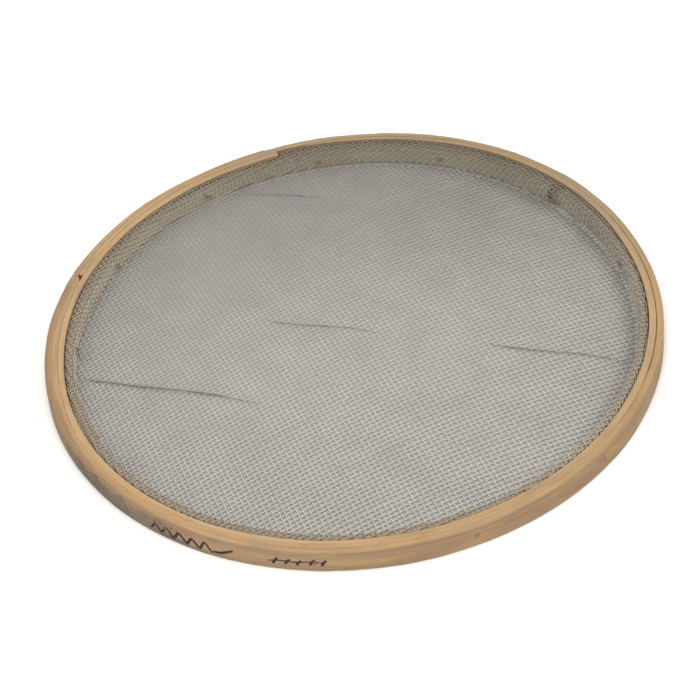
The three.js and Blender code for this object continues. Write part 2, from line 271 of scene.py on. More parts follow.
def tubes_object(name, tubes, material):
    """One mesh of closed tubes, each an array of (ring, side, xyz)."""
    quads, ends = [], []
    base = 0
    for tube in tubes:
        rings, sides = tube.shape[:2]
        quads.append(tube_quads(rings, sides, base)[:, [0, 3, 2, 1]])
        ends.append(base + np.arange(sides))
        ends.append((base + (rings - 1) * sides + np.arange(sides))[::-1])
        base += rings * sides
    verts = np.concatenate([tube.reshape(-1, 3) for tube in tubes])
    return fast_object(name, verts, np.concatenate(quads), ends, material)


def put_attribute(mesh, name, values):
    """Store point values: vectors where there are three to a point, otherwise floats."""
    values = np.ascontiguousarray(values, np.float32)
    kind, field = ("FLOAT_VECTOR", "vector") if values.ndim == 2 else ("FLOAT", "value")
    mesh.attributes.new(name, kind, "POINT").data.foreach_set(field, values.ravel())


def attach(ob, node):
    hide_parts(node)
    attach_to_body(ob, "root")


# ------------------------------------------------------------------ materials
def srgb(r, g, b):
    """Linear colour from 0-255 sRGB values."""
    def linear(c):
        c /= 255.0
        return c / 12.92 if c <= 0.04045 else ((c + 0.055) / 1.055) ** 2.4
    return (linear(r), linear(g), linear(b), 1.0)


class Shader:
    """A material with a Principled surface, and short calls that add nodes to it."""

    def __init__(self, name):
        self.material = bpy.data.materials.new(name)
        self.material.use_nodes = True
        self.tree = self.material.node_tree
        self.tree.nodes.clear()
        self.out = self.add("OutputMaterial")
        self.bsdf = self.add("BsdfPrincipled")
        self.link(self.bsdf.outputs[0], self.out.inputs[0])

    def add(self, kind):
        return self.tree.nodes.new("ShaderNode" + kind)

    def link(self, source, target):
        self.tree.links.new(source, target)

    def put(self, socket, value):
        """Link a socket to another's output, or give it a plain value."""
        if isinstance(value, bpy.types.NodeSocket):
            self.link(value, socket)
        else:
            socket.default_value = value

    def surface(self, name, value):
        self.put(self.bsdf.inputs[name], value)

    def attribute(self, name, output="Fac"):
        node = self.add("Attribute")
        node.attribute_name = name
        return node.outputs[output]

    def position(self):
        return self.add("NewGeometry").outputs["Position"]

    def noise(self, vector, scale, detail=3.0, rough=0.5, distortion=0.0, shift=(0, 0, 0)):
        """Noise stretched by one scale, or by one for each axis."""
        mapping = self.add("Mapping")
        self.link(vector, mapping.inputs["Vector"])
        mapping.inputs["Scale"].default_value = scale if isinstance(scale, tuple) else (scale,) * 3
        mapping.inputs["Location"].default_value = shift
        node = self.add("TexNoise")
        self.link(mapping.outputs[0], node.inputs["Vector"])
        node.inputs["Scale"].default_value = 1.0
        node.inputs["Detail"].default_value = detail
        node.inputs["Roughness"].default_value = rough
        node.inputs["Distortion"].default_value = distortion
        return node.outputs[0]

    def ramp(self, factor, *stops):
        """Colour ramp through (position, colour) stops."""
        node = self.add("ValToRGB")
        self.link(factor, node.inputs[0])
        elements = node.color_ramp.elements
        while len(elements) < len(stops):
            elements.new(0.5)
        for i, (place, colour) in enumerate(stops):
            elements[i].position = place
            elements[i].color = colour
        return node.outputs[0]

    def mix(self, amount, base, over):
        node = self.add("Mix")
        node.data_type = "RGBA"
        node.clamp_factor = True
        self.put(node.inputs[0], amount)
        self.put(node.inputs[6], base)
        self.put(node.inputs[7], over)
        return node.outputs[2]

    def math(self, operation, a, b, clamp=False):
        node = self.add("Math")
        node.operation = operation
        node.use_clamp = clamp
        self.put(node.inputs[0], a)
        self.put(node.inputs[1], b)
        return node.outputs[0]

    def times(self, a, b):
        return self.math("MULTIPLY", a, b)

    def plus(self, a, b):
        return self.math("ADD", a, b)

    def span(self, value, over, to=(0, 1)):
        """Map the range `over` onto the range `to`, clamped."""
        node = self.add("MapRange")
        self.put(node.inputs[0], value)
        for socket, limit in zip(list(node.inputs)[1:5], (*over, *to)):
            socket.default_value = limit
        node.clamp = True
        return node.outputs[0]

    def bump(self, height, strength, distance, under=None):
        node = self.add("Bump")
        node.inputs["Strength"].default_value = strength
        node.inputs["Distance"].default_value = distance
        self.link(height, node.inputs["Height"])
        if under is not None:
            self.link(under, node.inputs["Normal"])
        return node.outputs[0]


def wood_material(name, edge, face, grey, seed, rough=0.62, warm=1.0):
    """Bent strip: long grain, ring lines on the edges, a greyer face, flecks and dirt.
    edge and face are (dark, light) colours; the point attributes place the dirt and a painted
    shade."""
    mat = Shader(name)
    strip = mat.attribute("strip", "Vector")    # metres along, across and up the strip
    shift = (seed * 1.37, seed * 2.11, seed * 0.73)

    def noise(scale, detail, rough, distortion=0.0, shift=shift):
        return mat.noise(strip, scale, detail, rough, distortion, shift)

    fine = noise(scale=(14, 1500, 1500), detail=4, rough=0.62)
    rings = noise(scale=(3.2, 620, 330), detail=3, rough=0.55, distortion=0.4)
    broad = noise(scale=(9, 60, 70), detail=4, rough=0.6)
    patch = noise(scale=(22, 24, 60), detail=3, rough=0.6)
    flecks = noise(scale=(110, 1300, 900), detail=2, rough=0.5)
    grain = mat.plus(mat.times(fine, 0.45), mat.times(rings, 0.55))
    edge_mid = tuple(0.5 * (dark + light) for dark, light in zip(*edge))
    edge_col = mat.ramp(grain, (0.30, edge[0]), (0.47, edge_mid), (0.60, edge[1]))
    face_col = mat.ramp(grain, (0.28, face[0]), (0.62, face[1]))
    col = mat.mix(mat.attribute("face"), edge_col, face_col)
    # warm and grey drift along the strip
    drift = mat.span(broad, over=(0.42, 0.72), to=(0, 0.34 * warm))
    col = mat.mix(drift, col, srgb(168, 124, 78))
    col = mat.mix(mat.times(mat.span(patch, over=(0.50, 0.74)), 0.40), col, grey)
    col = mat.mix(mat.span(flecks, over=(0.66, 0.76), to=(0, 0.45)), col, srgb(96, 74, 50))
    gold = noise(scale=(17, 260, 120), detail=3, rough=0.55, shift=(*shift[1:], shift[0]))
    gold_fac = mat.span(gold, over=(0.52, 0.68), to=(0, 0.55 * warm))
    col = mat.mix(gold_fac, col, srgb(212, 172, 108))
    brown_fac = mat.span(gold, over=(0.46, 0.32), to=(0, 0.50 * warm))
    col = mat.mix(brown_fac, col, srgb(176, 138, 104))
    # greyer stretches of the hoop, then painted shade
    mottle = mat.span(broad, over=(0.25, 0.75), to=(0.35, 0.75))
    col = mat.mix(mat.times(mat.attribute("tone"), mottle), col, srgb(168, 152, 126))
    # painted shade: darker brown by angle, less on the outer face than on the top
    col = mat.mix(mat.attribute("shade"), col, srgb(70, 52, 34))
    # grime, browner wood and a ragged grey stain
    speck = noise(scale=(420, 420, 420), detail=4, rough=0.7)
    speckled = mat.span(speck, over=(0.25, 0.60), to=(0.55, 1.0))
    col = mat.mix(mat.times(mat.attribute("grime"), speckled), col, srgb(74, 60, 46))
    weathered = noise(scale=(60, 300, 300), detail=4, rough=0.6)
    weathered = mat.span(weathered, over=(0.25, 0.70), to=(0.55, 1.0))
    col = mat.mix(mat.times(mat.attribute("weather"), weathered), col, srgb(140, 114, 88))
    stain = mat.attribute("stain")
    blotch = noise(scale=(46, 110, 150), detail=5, rough=0.60)
    ragged = mat.times(mat.math("SUBTRACT", blotch, 0.5), 0.55)
    mask = mat.span(mat.plus(stain, ragged), over=(0.34, 0.66))
    stain_col = mat.ramp(blotch, (0.34, srgb(98, 86, 74)), (0.50, srgb(120, 108, 94)),
                         (0.66, srgb(140, 127, 108)))
    col = mat.mix(mat.times(mask, 0.92), col, stain_col)
    streaks = mat.span(fine, over=(0.42, 0.62), to=(0, 0.28))
    col = mat.mix(mat.times(stain, streaks), col, srgb(152, 132, 106))
    mat.surface("Base Color", col)
    roughness = mat.plus(mat.times(grain, 0.22), rough - 0.08)
    mat.surface("Roughness", mat.plus(roughness, mat.times(patch, 0.10)))
    mat.surface("Specular IOR Level", 0.32)
    relief = mat.bump(grain, strength=0.55, distance=0.00022)
    mat.surface("Normal", mat.bump(speck, strength=0.18, distance=0.00010, under=relief))
    return mat.material


def wire_material():
    """Dull galvanised wire: spangled zinc, browned where soil has dried on it, with painted shade
    on the floor and wall and painted light on parts of the wall.
    """
    mat = Shader("galvanised_wire")
    position = mat.position()
    spangle = mat.noise(position, scale=900, detail=3, rough=0.6)
    broad = mat.noise(position, scale=26, detail=3, rough=0.55)
    soil = mat.attribute("soil")
    zinc = mat.ramp(spangle, (0.30, srgb(202, 199, 193)), (0.66, srgb(230, 227, 221)))
    zinc = mat.mix(mat.span(broad, over=(0.40, 0.70), to=(0, 0.30)), zinc, srgb(176, 173, 166))
    brown = mat.ramp(spangle, (0.3, srgb(150, 142, 126)), (0.7, srgb(170, 162, 146)))
    # painted light: a paler soil colour where the wall is painted as lit
    pale = mat.ramp(spangle, (0.3, srgb(182, 169, 147)), (0.7, srgb(198, 185, 162)))
    brown = mat.mix(mat.attribute("pale"), brown, pale)
    soiled = mat.times(soil, mat.span(broad, over=(0.25, 0.65), to=(0.70, 1.0)))
    col = mat.mix(soiled, zinc, brown)
    # painted shade: greyer and darker where the floor and wall are painted as shaded
    mottle = mat.span(broad, over=(0.25, 0.7), to=(0.75, 1.0))
    col = mat.mix(mat.times(mat.attribute("painted_shade"), mottle), col, srgb(128, 124, 114))
    col = mat.mix(mat.attribute("umber"), col, srgb(140, 106, 58))
    # darker marks: painted shade at the wall's foot and the split's step, and darkening along the
    # creases and the fold
    dark_speckle = mat.span(spangle, over=(0.2, 0.6), to=(0.7, 1.0))
    col = mat.mix(mat.times(mat.attribute("dark"), dark_speckle), col, srgb(72, 64, 52))
    mat.surface("Base Color", col)
    mat.surface("Metallic", mat.math("SUBTRACT", 0.16, mat.times(soil, 0.16), clamp=True))
    soil_rough = mat.plus(mat.times(soil, 0.22), 0.30)
    mat.surface("Roughness", mat.plus(mat.times(spangle, 0.30), soil_rough))
    mat.surface("Normal", mat.bump(spangle, strength=0.35, distance=0.00006))
    return mat.material


def nail_material():
    mat = Shader("nail_iron")
    position = mat.position()
    fine = mat.noise(position, scale=700, detail=5, rough=0.65)
    broad = mat.noise(position, scale=160, detail=3, rough=0.5)
    col = mat.ramp(fine, (0.30, srgb(108, 98, 86)), (0.52, srgb(136, 126, 112)),
                   (0.72, srgb(160, 151, 136)))
    col = mat.mix(mat.span(broad, over=(0.48, 0.72), to=(0, 0.40)), col, srgb(128, 106, 82))
    mat.surface("Base Color", col)
    mat.surface("Metallic", mat.span(broad, over=(0.46, 0.66), to=(0.45, 0.10)))
    mat.surface("Roughness", mat.span(fine, over=(0.3, 0.7), to=(0.42, 0.75)))
    mat.surface("Normal", mat.bump(fine, strength=0.5, distance=0.00012))
    return mat.material


def ink_material():
    mat = Shader("marker_ink")
    worn = mat.noise(mat.position(), scale=(900, 900, 500), detail=4, rough=0.7)
    col = mat.ramp(worn, (0.34, srgb(44, 36, 40)), (0.60, srgb(74, 62, 62)),
                   (0.74, srgb(122, 102, 84)))
    mat.surface("Base Color", col)
    mat.surface("Roughness", mat.span(worn, over=(0.3, 0.7), to=(0.55, 0.8)))
    mat.surface("Specular IOR Level", 0.2)
    return mat.material


def seam_material():
    mat = Shader("seam_grey")
    grit = mat.noise(mat.position(), scale=500, detail=4, rough=0.7)
    col = mat.ramp(grit, (0.30, srgb(112, 109, 102)), (0.55, srgb(138, 135, 127)),
                   (0.75, srgb(158, 154, 145)))
    mat.surface("Base Color", col)
    mat.surface("Roughness", 0.92)
    mat.surface("Specular IOR Level", 0.1)
    mat.surface("Normal", mat.bump(grit, strength=0.6, distance=0.0002))
    return mat.material


wood_outer = wood_material(
    "wood_outer", edge=(srgb(178, 142, 98), srgb(208, 176, 134)),
    face=(srgb(156, 126, 94), srgb(188, 160, 128)), grey=srgb(140, 124, 104), seed=1)
wood_middle = wood_material(
    "wood_middle", edge=(srgb(184, 148, 104), srgb(212, 182, 142)),
    face=(srgb(136, 112, 82), srgb(172, 146, 114)), grey=srgb(150, 132, 108), seed=5)
# The clamp's faces are painted paler than its edges: painted light that lifts the shade on its
# inner face behind the wire wall.
wood_clamp = wood_material(
    "wood_clamp", edge=(srgb(180, 169, 149), srgb(200, 189, 168)),
    face=(srgb(208, 197, 176), srgb(222, 211, 190)), grey=srgb(206, 197, 180), seed=9,
    rough=0.7, warm=0.2)
wire_mat = wire_material()
nail_mat = nail_material()
ink_mat = ink_material()
seam_mat = seam_material()


# ------------------------------------------------------------------ bent strips
def stations(start, end, step, extra=()):
    """Even angles from start to end with extra ones added, none closer than 0.06."""
    even = np.linspace(start, end, max(2, int(round((end - start) / step)) + 1))
    angles = sorted(list(even) + [angle for angle in extra if start < angle < end])
    kept = [angles[0]]
    for angle in angles[1:]:
        if angle - kept[-1] > 0.06:
            kept.append(angle)
    kept[-1] = end
    return np.array(kept)


def strip_section(r_in, r_out, z0, z1, corners, counts, tall):
    """A closed loop of points per station, up the inner side, over the top and down the
    outer. Returns radius, height, the normal's two parts and how much each is a face."""
    ones = np.ones(len(r_in))
    width, height = r_out - r_in, z1 - z0
    cap = 0.46 * np.minimum(width, height)
    in_top, out_low, in_low = [np.minimum(corners[i], cap) for i in (0, 2, 3)]
    out_top = np.minimum(corners[1], 0.72 * width)
    out_top_z = np.minimum(out_top * tall, 0.72 * height)
    n_in, n_top, n_out, n_low = counts
    loop = []

    def add(*values):
        loop.append([value * ones for value in values])

    def run(count, r, z, dr, dz, normal, face):
        for j in range(1, count + 1):
            t = j / (count + 1)
            add(r + dr * t, z + dz * t, *normal, face)

    def arc(r, z, radius, start, faces, radius_z=None, steps=4, early=1.0):
        """Quarter turn clockwise; `early` speeds the change from one face to the next."""
        radius_z = radius if radius_z is None else radius_z
        for j in range(steps + 1):
            t = j / float(steps)
            turn = math.radians(start - 90 * t)
            face = faces[0] + (faces[1] - faces[0]) * min(1.0, t * early)
            add(r + radius * math.cos(turn), z + radius_z * math.sin(turn),
                math.cos(turn), math.sin(turn), face)

    run(n_in, r_in, z0 + in_low, 0, height - in_low - in_top, (-1, 0), 0.8)
    arc(r_in + in_top, z1 - in_top, in_top, 180, (0.8, 0.0))
    run(n_top, r_in + in_top, z1, width - in_top - out_top, 0, (0, 1), 0.0)
    arc(r_out - out_top, z1 - out_top_z, out_top, 90, (0.0, 1.0), out_top_z, 6, 2.4)
    run(n_out, r_out, z1 - out_top_z, 0, out_top_z + out_low - height, (1, 0), 1.0)
    arc(r_out - out_low, z0 + out_low, out_low, 0, (1.0, 0.3))
    run(n_low, r_out - out_low, z0, out_low + in_low - width, 0, (0, -1), 0.3)
    arc(r_in + in_low, z0 + in_low, in_low, -90, (0.3, 0.8))
    return np.array(loop).transpose(1, 2, 0)


def strip_object(name, deg, r_in, r_out, z0, z1, corners, seed, material, node,
                 paint, wobble, counts, nails=(), tall=1.0, lean=0.0, top_darkening=0.0):
    """A strip bent round, with eased corners, hand-made unevenness and cut end faces.
    corners: radii of the inner-top, outer-top, outer-low and inner-low edges.
    counts: points along the inner side, top, outer side and underside."""
    r, z, normal_r, normal_z, face = strip_section(r_in, r_out, z0, z1, corners, counts, tall)
    rings, sides = r.shape
    along = np.radians(deg)[:, None] * RADIUS * np.ones((1, sides))
    # unevenness: long and gentle along the strip, finer across it
    gentle = waves(seed, 4, 22, 60)
    medium = waves(seed + 1, 30, 120, 220)
    fine = waves(seed + 2, 60, 260, 900)
    push = wobble * MM * (0.9 * gentle(along, z + r) + 0.35 * medium(along, z - r))
    push = push + 0.035 * MM * fine(along, z * 1.3 + r)
    push = np.where(normal_z < -0.9, np.minimum(push * 0.3, 0), push)
    r = r + push * normal_r
    z = z + push * normal_z
    across = (r - r_in[:, None]) / (r_out - r_in)[:, None]
    foot = (1 - np.clip(z / HEIGHT, 0, 1)) ** 1.3
    r = r + (lean * MM * np.ones(rings))[:, None] * foot * smooth(across, 0.5, 1.0)
    # dents and grime round the nail heads, and darkening near the top
    outside = normal_r > 0.8
    grime = np.zeros_like(r)
    for nail_deg, nail_z in nails:
        aside = (np.radians((deg - nail_deg + 180) % 360 - 180) * RADIUS)[:, None]
        distance = np.hypot(aside, z - nail_z * MM)
        r = r - 0.45 * MM * (1 - smooth(distance, 1.8 * MM, 3.4 * MM)) * outside
        ring_grime = 0.40 * (1 - smooth(distance, 1.9 * MM, 3.0 * MM)) * outside
        grime = np.maximum(grime, ring_grime)
    grime = np.maximum(grime, top_darkening * smooth(z, 12.5 * MM, 15.5 * MM))
    z = np.maximum(z, 0.0)
    angle = np.radians(deg)[:, None]
    x, y = CENTRE_X + r * np.cos(angle), CENTRE_Y + r * np.sin(angle)
    verts = np.stack([x, y, z], -1).reshape(-1, 3)
    strip = np.stack([along, r - r_in[:, None], z], -1).reshape(-1, 3)

    # each cut end: a slightly smaller ring pushed out a little, then closed
    points, quads, ends = [verts], [tube_quads(rings, sides)[:, ::-1]], []
    for number, (station, sign) in enumerate(((0, -1), (rings - 1, 1))):
        rim = np.arange(sides) + station * sides
        cap = np.arange(sides) + (rings + number) * sides
        turn = math.radians(deg[station])
        tangent = np.array([-math.sin(turn), math.cos(turn), 0.0])
        centre = verts[rim].mean(0)
        points.append(centre + (verts[rim] - centre) * 0.93 + tangent * sign * 0.10 * MM)
        band = np.stack([rim, np.roll(rim, -1), np.roll(cap, -1), cap], -1)
        quads.append(band[:, ::-sign])
        ends.append(cap[::-sign])
    verts = np.concatenate(points)
    ob = fast_object(name, verts, np.concatenate(quads), ends, material)

    def with_ends(values, end_value):
        return np.concatenate([values.ravel(), np.full(2 * sides, end_value)])

    face = with_ends(face, 0.3)
    arris = with_ends(smooth(normal_r, 0.15, 0.55) * smooth(normal_z, 0.1, 0.45), 0.0)
    put_attribute(ob.data, "strip", np.concatenate([strip, strip[:sides], strip[-sides:]]))
    put_attribute(ob.data, "face", face)
    put_attribute(ob.data, "grime", with_ends(grime, 0.18))
    x, y = verts[:, 0] - CENTRE_X, verts[:, 1] - CENTRE_Y
    layers = paint(np.degrees(np.arctan2(y, x)), np.hypot(x, y), verts[:, 2], face, arris)
    for layer, values in zip(("tone", "shade", "stain", "weather"), layers):
        put_attribute(ob.data, layer, np.broadcast_to(values, len(verts)))
    attach(ob, node)
    return ob


def wood_tone(deg):
    """Where the strips have gone greyer: the right and back of the hoop."""
    return smooth(deg, -12, 22) * (1 - 0.75 * smooth(deg, 100, 122))


def wood_shade(deg, face):
    # painted shade by angle round the hoop, weaker on the outer face than on the top
    return ring_curve(WOOD_SHADE, deg) * (1 - 0.55 * face)


ragged_long = waves(91, 18, 70)
ragged_short = waves(92, 90, 260)


def outer_stain(deg, r, z):
    """The grey stain on the front left of the outer face, and duller patches beside it."""
    up = z / HEIGHT
    along = np.radians(deg) * RADIUS
    ragged = 0.08 * ragged_long(along) + 0.03 * ragged_short(along)
    body = (0.55 + 0.45 * smooth(deg, -156.0, -146.0))
    body = body * smooth(deg + 1.2 * up, -161.5, -156.0)
    body = body * (1 - smooth(deg + 1.8 * (up - 0.4) + 3 * ragged, -139.0, -136.8))
    body = body * (1 - smooth(up + ragged, 0.80, 0.97))
    beside = 0.56 * smooth(deg, -139.2, -136.6) * (1 - smooth(deg, -130.0, -121.5))
    beside = beside * (1 - smooth(up + ragged, 0.84, 1.02))
    low = 0.45 * smooth(deg, -131, -127) * (1 - smooth(deg, -118, -112))
    low = low * (1 - smooth(up + ragged, 0.10, 0.45))
    on_face = smooth(r, rim_out(deg) - 4.5 * MM, rim_out(deg) - 1.2 * MM)
    return np.clip(body + beside + low, 0, 1) * on_face


# Browner spots on the outer face: angle, height as a fraction of HEIGHT, half width in
# degrees, half height as a fraction, strength
WEATHER_SPOTS = [
    (-156.2, 0.62, 1.0, 0.30, 1.0), (-150.0, 0.86, 1.1, 0.14, 1.0),
    (-147.2, 0.84, 0.9, 0.12, 1.0), (-153.0, 0.88, 0.8, 0.10, 0.8),
    (-53.5, 0.25, 3.2, 0.22, 0.42), (-47.0, 0.72, 1.6, 0.14, 0.40),
    (-61.0, 0.2, 2.4, 0.2, 0.30), (-119.2, 0.92, 1.2, 0.10, 0.5),
    (-142.0, 0.9, 0.9, 0.12, 0.7), (-85.5, 0.2, 3.0, 0.15, 0.25)]


def outer_weather(deg, r, z):
    """Browner wood on the rounded band at the left, along the front-left top edge and in
    a few spots on the face."""
    rim = rim_out(deg)
    up = z / HEIGHT
    along = np.radians(deg) * RADIUS
    ragged = 0.9 * MM * ragged_long(along) + 0.4 * MM * ragged_short(along)
    angle = wrap(deg)
    behind = angle > 0
    left = np.where(behind, smooth(angle, 146, 162), 1 - smooth(angle, -150, -143))
    width = np.interp(angle, [-180, -165, -155, -146], [7.3, 7.6, 6.2, 4.2]) * MM
    width = np.where(behind, 7.0 * MM, width)
    depth = np.interp(angle, [-180, -168, -160, -143], [0.50, 0.56, 0.62, 0.72])
    depth = np.where(behind, 0.50, depth)
    inset = r + ragged * 0.45
    band = depth * left * smooth(inset, rim - width, rim - width + 1.4 * MM)
    border = np.exp(-((inset - rim + width - 1.3 * MM) / (0.8 * MM)) ** 2)
    near = smooth(angle, -170, -163) * (1 - smooth(angle, -150, -144)) * (angle < 0)
    band = band + 0.30 * near * border
    edge = 0.62 * smooth(angle, -158, -150) * (1 - smooth(angle, -128, -120)) * (angle < 0)
    edge = edge * np.exp(-((r + ragged * 0.6 - rim + 1.8 * MM) / (1.9 * MM)) ** 2)
    edge = edge * smooth(up, 0.6, 0.9)
    spots = 0.0
    for spot_deg, spot_up, half_deg, half_up, strength in WEATHER_SPOTS:
        reach = ((angle - spot_deg) / half_deg) ** 2 + ((up - spot_up) / half_up) ** 2
        spots = np.maximum(spots, strength * np.exp(-reach))
    spots = spots * smooth(r, rim - 3 * MM, rim - 1 * MM)
    return np.clip(np.maximum(np.maximum(band, edge), spots), 0, 1)


# Each paint function returns the tone, shade, stain and weather of a strip's points.
def paint_outer(deg, r, z, face, arris):
    # painted shade on the rounded outer top edge at the front, where the lamps light it most
    shade = wood_shade(deg, face) + 0.22 * arris * lookup_round(ARRIS_SHADE, deg)
    return wood_tone(deg), shade, outer_stain(deg, r, z), outer_weather(deg, r, z)


def paint_middle(deg, r, z, face, arris):
    return wood_tone(deg), wood_shade(deg, face), 0.0, 0.0


def paint_clamp(deg, r, z, face, arris):
    # painted shade on the clamp hoop, deepest at the right and the back
    return 0.0, lookup_round(CLAMP_SHADE, deg), 0.0, 0.0


def outer_hoop():
    """Outer strip: one turn and a lap, its far end tucked inside its tapered start."""
    deg = stations(LAP_TIP_DEG, 360 + LAP_END_DEG, STATION_STEP, [
        *(LAP_END_DEG + past for past in (0.3, 0.6, 1.2, 2.2, 3.5)), LAP_CLOSE_DEG,
        439.2, 439.6, 440.0, 455, 461.0, 461.2, 462.9, 463.45, 463.55])
    along = np.radians(deg) * RADIUS
    second_turn = deg - 360
    tucked = second_turn >= LAP_TIP_DEG - 0.05
    tucked_out = lap_face(np.maximum(second_turn, LAP_TIP_DEG)) - 0.25 * MM
    r_out = np.where(tucked, tucked_out, rim_out(deg) + eased(OUTER_BULGE)(deg) * MM)
    # past the lap the inner face closes down onto the middle strip
    open_end = LAP_END_DEG + 0.6
    t = np.clip((deg - open_end) / (LAP_CLOSE_DEG - open_end), 0, 1)
    lap = lap_face(LAP_END_DEG)
    closed = middle_out(LAP_CLOSE_DEG) + ring_curve(PLY_GAP, LAP_CLOSE_DEG) * MM
    closing = lap + (closed - lap) * t ** 0.5
    on_middle = middle_out(deg) + ring_curve(PLY_GAP, deg) * MM
    r_in = np.where(deg < LAP_CLOSE_DEG, closing, on_middle)
    r_in = np.where(deg <= open_end, lap_face(deg), r_in)
    top = HEIGHT - 0.10 * MM + 0.14 * MM * waves(31, 1.2, 6)(along)
    rounding = eased(OUTER_ROUND)(deg) + 0.36 * waves(33, 8, 60)(along)
    out_top = np.where(tucked, 0.5, np.maximum(rounding, 0.7)) * MM
    in_top = ring_curve(GROOVE, deg) * MM
    in_top = in_top * np.clip(1 + 0.3 * waves(34, 10, 70)(along), 0.5, 1.6)
    in_top = np.where(deg < LAP_END_DEG, 0.25 * MM, in_top)
    out_low = 1.1 * MM * np.clip(1 + 0.4 * waves(35, 8, 60)(along), 0.4, 1.8)
    out_low = np.where(tucked, 0.4 * MM, out_low)
    return strip_object(
        "bent_outer_hoop", deg, r_in, r_out, 0.0, top, (in_top, out_top, out_low, 0.5 * MM),
        101, wood_outer, "outer_hoop", paint_outer, wobble=0.12,
        counts=(4, 7, 10, 4), nails=nails, tall=eased(OUTER_TALL)(deg),
        lean=eased(OUTER_LEAN)(deg))


def middle_hoop():
    """Middle strip: a blunt start, one turn and a thin tail."""
    first = MIDDLE_START_DEG
    deg = stations(first + 0.12, 360 + MIDDLE_END_DEG, STATION_STEP,
                   [first + 0.25, first + 0.45, 448, 452, 454])
    along = np.radians(deg) * RADIUS
    top = HEIGHT - 0.42 * MM + 0.22 * MM * waves(41, 1.5, 9)(along)
    in_top = 0.75 * MM * np.clip(1 + 0.4 * waves(42, 8, 70)(along), 0.4, 1.7)
    out_top = ring_curve(GROOVE, deg) * MM
    strip_object(
        "bent_middle_hoop", deg, rim_in(deg), middle_out(deg), 0.15 * MM, top,
        (in_top, out_top, 0.4 * MM, 0.7 * MM), 151, wood_middle, "middle_hoop",
        paint_middle, wobble=0.10, counts=(6, 5, 4, 3))


def clamp_hoop():
    """Low split hoop between the wire wall and the cloth's outer skirt."""
    half_split = math.degrees(2.5 * MM / 0.252)
    deg = stations(SPLIT_DEG + half_split, SPLIT_DEG + 360 - half_split, STATION_STEP * 2)
    strip_object(
        "clamp_hoop_wood", deg, wall_r(deg) + 0.72 * MM, wood_in(deg) - 2.55 * MM,
        1.5 * MM, 17.0 * MM, (2.4 * MM, 0.9 * MM, 0.6 * MM, 0.6 * MM), 171, wood_clamp,
        "clamp_hoop", paint_clamp, wobble=0.05, counts=(5, 4, 4, 3), top_darkening=0.42)


outer = outer_hoop()
middle_hoop()
clamp_hoop()

# ------------------------------------------------------------------ woven wire
PITCH = 0.0172 * RADIUS
WAVE_HEIGHT = 1.10 * MM * 0.40    # how far each wire rides over and under the cloth's middle
WIRE_SIDES = 6
# Warp runs near x and weft near y. Each line strays sideways by slope and by bow, the
# second growing with the square of the distance. crimp: which way the wire rides first.
# The last entry shifts the painted shade on the floor for the whole family.
WARP = dict(label="warp", seed=7, pitch=PITCH * 1.095, slope=0.445, bow=-0.135,
            gauge=1.04 * MM, crimp=1.0, painted_shade=0.10)
WEFT = dict(label="weft", seed=11, pitch=PITCH * 1.055, slope=-0.36, bow=-0.0575,
            gauge=1.16 * MM, crimp=-1.0, painted_shade=-0.06)

# Bend radii of the cloth: floor to wall, wall to top, top to outer skirt
WALL_BEND, TOP_BEND, SKIRT_BEND = 1.0 * MM, 2.6 * MM, 1.1 * MM
FINE_FROM = 0.2485 - 4 * MM    # beyond this radius wires get four stations to a cell

# Colouring of the fold (umber, darkening) and painted shade and painted light on the wall and fold,
# from 0 to 1
UMBER = [
    (-180, 0.34), (-165, 0.36), (-135, 0.28), (-105, 0.50), (-75, 0.48), (-45, 0.02),
    (-15, 0.20), (20, 0.20), (180, 0.30)]
FOLD_DARK = [
    (-180, 0.16), (-165, 0.16), (-135, 0.10), (-105, 0.00), (-75, 0.00), (-45, 0.00),
    (-15, 0.10), (20, 0.22), (150, 0.22), (180, 0.16)]
# painted shade on the wall by angle
WALL_SHADE = [
    (-180, 0.05), (-90, 0.03), (-60, 0.0), (-40, 0.0), (-15, 0.20), (2, 0.06), (12, 0.10),
    (25, 0.38), (45, 0.68), (65, 0.52), (85, 0.58), (105, 0.48), (125, 0.28), (145, 0.12),
    (165, 0.05), (180, 0.05)]
# painted light on the wall and fold, by angle
WALL_PALE = [
    (-180, 0.0), (-150, 0.08), (-135, 0.15), (-105, 0.25), (-75, 0.38), (-45, 0.34),
    (-20, 0.16), (2, 0.30), (15, 0.12), (25, 0.0), (180, 0.0)]

# Creases in the floor: start and end as fractions of RADIUS, height mm, half width mm
CREASES = [
    ((-0.870, -0.044), (-0.330, -0.252), 1.30, 1.9),
    ((-0.275, 0.127), (0.080, 0.004), 0.60, 2.0),
    ((0.430, -0.122), (0.865, -0.290), 0.75, 2.0),
    ((-0.330, 0.826), (-0.010, 0.716), 0.35, 2.2)]
# Grey seam on each crease: start and end as fractions of the crease, then
# (fraction of the seam, width mm)
SEAMS = [
    (-0.02, 0.99, ((0, 0.5), (0.1, 1.5), (0.3, 1.7), (0.6, 1.1), (0.8, 0.7), (1.0, 0.2))),
    (0.00, 1.02, ((0, 0.3), (0.15, 1.0), (0.3, 0.5), (0.5, 0.7), (0.75, 0.5), (1.0, 0.2))),
    (0.00, 0.96, ((0, 0.3), (0.1, 1.0), (0.35, 1.2), (0.5, 0.7), (0.75, 0.6), (1.0, 0.2))),
    (0.10, 0.90, ((0, 0.2), (0.3, 0.7), (0.7, 0.6), (1.0, 0.2)))]


def fold_top(deg):
    """Height of the cloth where it turns over the clamp hoop."""
    raised = smooth(deg, 10, 50) * (1 - smooth(deg, 150, 178))
    return (17.95 + 0.50 * raised + 0.10 * np.sin(np.radians(deg) * 5.0)) * MM


def skirt_r(deg):
    return wood_in(deg) - 1.38 * MM


